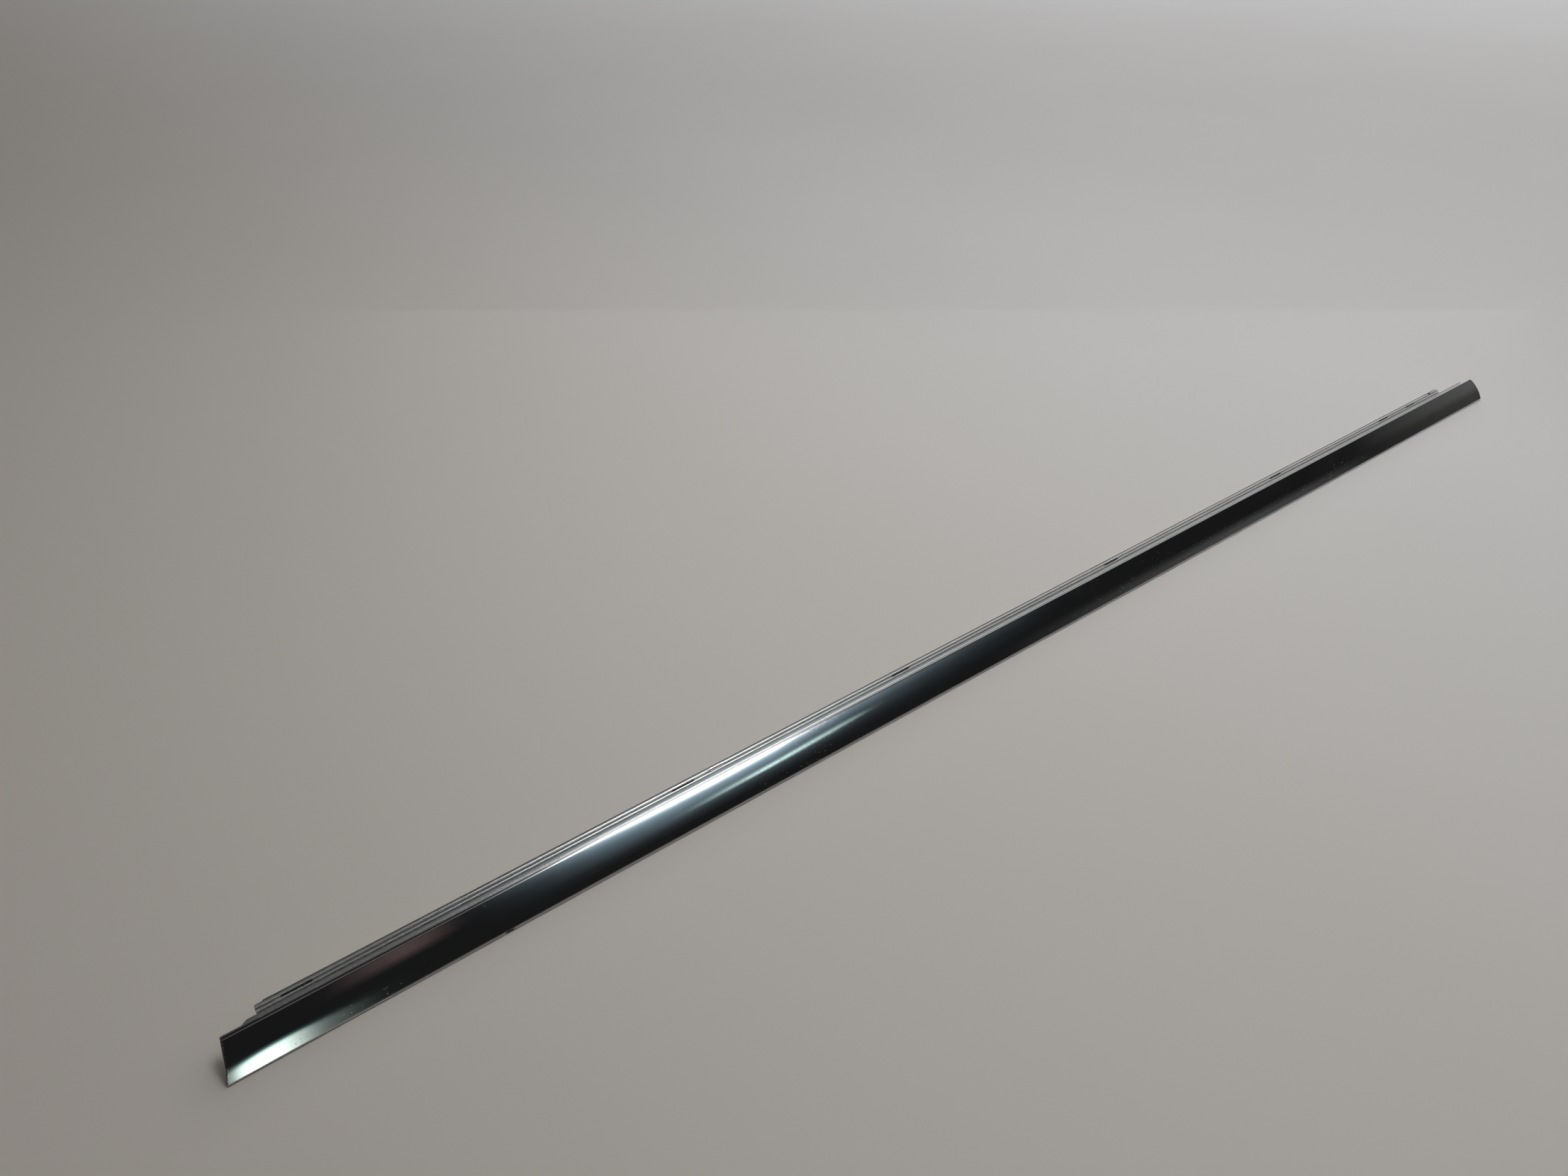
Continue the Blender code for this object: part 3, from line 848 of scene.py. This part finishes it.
def floor():
    """A plain pale floor with painted shade: darker and warmer towards the left."""
    m = Nodes("pale_floor")
    mottle = m.noise(m.scaled(3, 3, 3), 1.0, 4, 0.5)
    pale = m.mix(mottle, (0.61, 0.60, 0.592), (0.645, 0.64, 0.634))
    # Painted shade: the floor's colour turns darker and warmer towards the left end.
    m.set("Base Color", m.mix(m.rightwards(-1.0, 0.5, 0.0, 1.0), (0.58, 0.535, 0.475), pale))
    m.set("Roughness", 0.55)
    m.set("Specular IOR Level", 0.15)
    mesh = bpy.data.meshes.new("floor")
    work = bmesh.new()
    bmesh.ops.create_circle(work, cap_ends=True, radius=FLOOR_RADIUS, segments=96)
    work.to_mesh(mesh)
    work.free()
    linked("floor", mesh, m.material)


def glow(name, mesh, strength, across, up, diffuse=True, glossy=True):
    """A light source sheet: brightness from across over its u, colour from up over its v.

    It adds its light to whatever lies behind it.
    """
    m = Nodes(name)
    m.tree.nodes.remove(m.shader)
    uv = m.add("ShaderNodeTexCoord").outputs["UV"]
    axes = m.parted(uv)
    product = m.add("ShaderNodeVectorMath", operation="MULTIPLY")
    m.join(m.ramp(axes["X"], across), product.inputs[0])
    m.join(m.ramp(axes["Y"], up), product.inputs[1])
    emission = m.add("ShaderNodeEmission")
    emission.inputs["Strength"].default_value = strength
    m.join(product.outputs["Vector"], emission.inputs["Color"])
    clear = m.add("ShaderNodeBsdfTransparent")
    both = m.add("ShaderNodeAddShader")
    m.join(emission.outputs["Emission"], both.inputs[0])
    m.join(clear.outputs["BSDF"], both.inputs[1])
    m.join(both.outputs["Shader"], m.tree.nodes["Material Output"].inputs["Surface"])
    made = linked(name, mesh, m.material)
    made.visible_camera = False
    made.visible_shadow = False
    made.visible_diffuse = diffuse
    made.visible_glossy = glossy


def sheet(name, columns, rows, place):
    """A grid with uv from 0 to 1, its points given by place(u, v)."""
    work = bmesh.new()
    uv = work.loops.layers.uv.new("uv")
    grid = []
    for r in range(rows + 1):
        grid.append([work.verts.new(place(c / columns, r / rows)) for c in range(columns + 1)])
    for r in range(rows):
        for c in range(columns):
            corners = ((r, c), (r, c + 1), (r + 1, c + 1), (r + 1, c))
            face = work.faces.new([grid[a][b] for a, b in corners])
            for loop, (a, b) in zip(face.loops, corners):
                loop[uv].uv = (b / columns, a / rows)
    mesh = bpy.data.meshes.new(name)
    work.to_mesh(mesh)
    work.free()
    return mesh


def between(stops, x):
    """The value at x on a line through the stops."""
    if x <= stops[0][0]:
        return stops[0][1]
    for (low, start), (high, end) in zip(stops, stops[1:]):
        if x <= high:
            return start + (end - start) * (x - low) / (high - low)
    return stops[-1][1]


def screen(name, strength, across, up, rise=((0.0, 0.0),), radius=1.5, diffuse=False):
    """A curved softbox on a cylinder round the strip.

    across gives brightness at places along X, up gives colour at elevations in degrees, from
    the horizon in front of the face, over the top, to the horizon behind. rise lifts the
    elevations by an amount that changes along X.
    """
    left, right = across[0][0], across[-1][0]
    low, high = up[0][0], up[-1][0]

    def place(u, v):
        x = left + (right - left) * u
        angle = math.radians(low + (high - low) * v + between(rise, x))
        return (x, -radius * math.cos(angle), radius * math.sin(angle))

    level_across = [((x - left) / (right - left), value) for x, value in across]
    level_up = [((e - low) / (high - low), value) for e, value in up]
    glow(name, sheet(name, 48, 24, place), strength, level_across, level_up, diffuse)


def tint(colour, value):
    return tuple(channel * value for channel in colour)


def face_screens():
    """What the bright face mirrors, from the large key overhead down to a far window."""
    blue = (0.62, 0.86, 1.0)
    screen(
        "key_screen",
        7.0,
        [(-0.17, 0.0), (-0.125, 0.02), (-0.08, 0.05), (-0.034, 0.12), (0.016, 0.3),
         (0.066, 0.6), (0.118, 0.8), (0.17, 0.95), (0.24, 1.0), (0.44, 1.0), (0.49, 0.5),
         (0.53, 0.14), (0.586, 0.06), (0.65, 0.03), (0.79, 0.012), (0.97, 0.006), (1.3, 0.0)],
        [(66, 0.0), (69, 0.03), (72, 0.12), (75, 0.5), (78, 1.0), (106, 1.0), (110, 0.0)],
        rise=[(-0.034, 5.0), (0.066, 2.0), (0.17, -1.0), (0.318, -3.0), (0.459, -1.5),
              (0.6, 0.0)],
        diffuse=True,
    )
    screen(
        "key_rear_screen",
        1.9,
        [(-0.06, 0.0), (0.016, 0.35), (0.066, 0.9), (0.44, 1.0), (0.48, 0.4), (0.53, 0.0)],
        [(104, 0.0), (108, 1.0), (134, 0.9), (145, 0.4), (155, 0.0)],
        radius=1.42,
    )
    screen(
        "sky_glow",
        7.0,
        [(-0.17, 0.0), (-0.125, 0.03), (-0.08, 0.08), (-0.034, 0.16), (0.016, 0.32), (0.066, 0.55),
         (0.118, 0.72), (0.17, 0.85), (0.24, 1.0), (0.47, 1.0), (0.5225, 0.6), (0.586, 0.42),
         (0.65, 0.3), (0.79, 0.17), (0.97, 0.07), (1.17, 0.02), (1.3, 0.0)],
        [(20, 0.0), (32, tint(blue, 0.0045)), (39, tint(blue, 0.013)), (46.6, tint(blue, 0.025)),
         (54, tint(blue, 0.04)), (61, tint(blue, 0.065)), (66, tint(blue, 0.1)),
         (72, tint(blue, 0.14)), (90, tint(blue, 0.03)), (112, 0.0)],
        radius=1.49,
    )
    screen(
        "window_screen",
        2.2,
        [(-0.598, 0.0), (-0.590, 0.15), (-0.583, 0.6), (-0.575, 1.0), (-0.515, 1.0),
         (-0.492, 0.45), (-0.464, 0.12), (-0.43, 0.05), (-0.393, 0.015), (-0.353, 0.0)],
        [(1, (0.85, 1.0, 0.92)), (23, (0.85, 1.0, 0.92)), (26, (0.62, 0.85, 0.76)),
         (30, (0.05, 0.09, 0.09)), (34, 0.0)],
        rise=[(-0.598, -13.0), (-0.588, -8.5), (-0.578, -5.0), (-0.56, -1.5), (-0.53, 0.5),
              (-0.49, 0.5), (-0.43, -3.0), (-0.353, -8.0)],
        radius=1.48,
    )
    screen(
        "tube_screen",
        1.4,
        [(0.24, 0.0), (0.30, 0.25), (0.36, 0.55), (0.43, 1.0), (0.50, 1.0), (0.58, 0.75),
         (0.64, 0.3), (0.70, 0.0)],
        [(42.5, 0.0), (45.0, (0.4, 0.62, 0.56)), (46.4, (0.78, 1.0, 0.94)),
         (48.2, (0.78, 1.0, 0.92)), (50, (0.3, 0.45, 0.40)), (54, 0.0)],
        rise=[(0.24, -2.5), (0.34, -1.5), (0.459, -0.5), (0.586, 3.6), (0.70, 6.0)],
        radius=1.47,
    )
    screen(
        "warm_screen",
        0.105,
        [(-0.43, 0.0), (-0.34, 0.7), (-0.30, 1.0), (-0.27, 0.8), (-0.2, 0.0)],
        [(47, 0.0), (54, (0.4, 0.24, 0.25)), (60, (0.9, 0.56, 0.57)), (70, (1.0, 0.66, 0.64)),
         (74, (0.8, 0.6, 0.6)), (76, 0.0)],
        radius=1.46,
    )
    screen(
        "ceiling_screen",
        0.12,
        [(-0.65, 0.4), (-0.5, 0.9), (-0.3, 1.0), (-0.12, 1.0), (0.0, 0.0)],
        [(77, 0.0), (82, (1.0, 0.9, 0.86)), (100, (1.0, 0.9, 0.86)), (112, 0.0)],
        radius=1.45,
    )
    screen(
        "right_low_screen",
        0.075,
        [(1.0, 0.0), (1.5, 0.6), (1.9, 1.0), (2.2, 0.8), (2.5, 0.0)],
        [(2, 1.0), (16, 0.9), (24, 0.4), (34, 0.0)],
        radius=1.44,
    )
    screen(
        "right_end_screen",
        0.13,
        [(2.4, 0.0), (2.75, 0.5), (3.1, 1.0), (3.6, 1.0)],
        [(2, (0.35, 0.35, 0.33)), (30, (0.45, 0.45, 0.40)), (50, (0.9, 0.92, 0.82)), (75, 1.0),
         (100, 1.0)],
        radius=1.43,
    )


def room():
    """Dim surroundings, cards behind and to the left, and a soft ceiling over the floor."""
    world = bpy.data.worlds.new("room")
    bpy.context.scene.world = world
    world.use_nodes = True
    background = world.node_tree.nodes["Background"]
    background.inputs["Color"].default_value = (*ROOM_COLOUR, 1)
    background.inputs["Strength"].default_value = ROOM_STRENGTH

    def wall(u, v):
        t = WALL_LEFT + (WALL_RIGHT - WALL_LEFT) * u
        height = WALL_HEIGHT - WALL_TAPER * max(t, 0.0)
        x = WALL_POINT[0] + WALL_DIRECTION[0] * t
        y = WALL_POINT[1] + WALL_DIRECTION[1] * t
        return (x, y, height * v)

    def left_side(u, v):
        return (SIDE_CARD_AT, -1.2 + 3.0 * u, 0.02 + 1.3 * v)

    def ceiling(u, v):
        return (-4.0 + 12.0 * u, -2.5 + 9.0 * v, CEILING_AT)

    span = [(-1.1, 0.04), (-0.77, 0.06), (-0.65, 0.14), (-0.567, 0.2), (-0.5, 0.35),
            (-0.465, 0.5), (-0.39, 0.85), (-0.09, 1.0), (0.14, 1.0), (0.475, 0.95),
            (0.705, 0.95), (0.8, 0.9)]
    glow(
        "backdrop_card",
        sheet("backdrop_card", 12, 4, wall),
        0.62,
        [((t - WALL_LEFT) / (WALL_RIGHT - WALL_LEFT), value) for t, value in span],
        [(0.0, WALL_COLOUR), (0.8, WALL_COLOUR), (1.0, WALL_TOP_COLOUR)],
        diffuse=False,
    )
    glow(
        "left_side_card",
        sheet("left_side_card", 8, 8, left_side),
        1.1,
        [(0.0, 0.0), (0.3, 0.6), (0.6, 1.0), (1.0, 1.0)],
        [(0.0, 0.8), (0.6, 1.0), (1.0, 0.0)],
        diffuse=False,
    )
    glow(
        "fill_ceiling",
        sheet("fill_ceiling", 12, 12, ceiling),
        1.04,
        [(0.0, 0.0), (0.28, 0.0), (0.38, (0.25, 0.21, 0.17)), (0.50, 1.0), (0.62, 1.3),
         (1.0, 2.3)],
        [(0.0, 0.84), (0.35, 0.86), (0.55, (1.1, 1.11, 1.13)), (1.0, (2.4, 2.46, 2.56))],
        glossy=False,
    )


def camera():
    """Looks down along the strip from in front of its left end."""
    data = bpy.data.cameras.new("photo_camera")
    data.sensor_width = SENSOR_WIDTH
    data.lens = LENS
    data.clip_start = 0.01
    made = bpy.data.objects.new("photo_camera", data)
    bpy.context.scene.collection.objects.link(made)
    made.location = CAMERA_AT
    made.rotation_mode = "QUATERNION"
    made.rotation_quaternion = Vector(CAMERA_AIM).to_track_quat("-Z", "Y")
    bpy.context.scene.camera = made


build_strip()
floor()
face_screens()
room()
camera()
bpy.context.scene.view_settings.view_transform = "Standard"
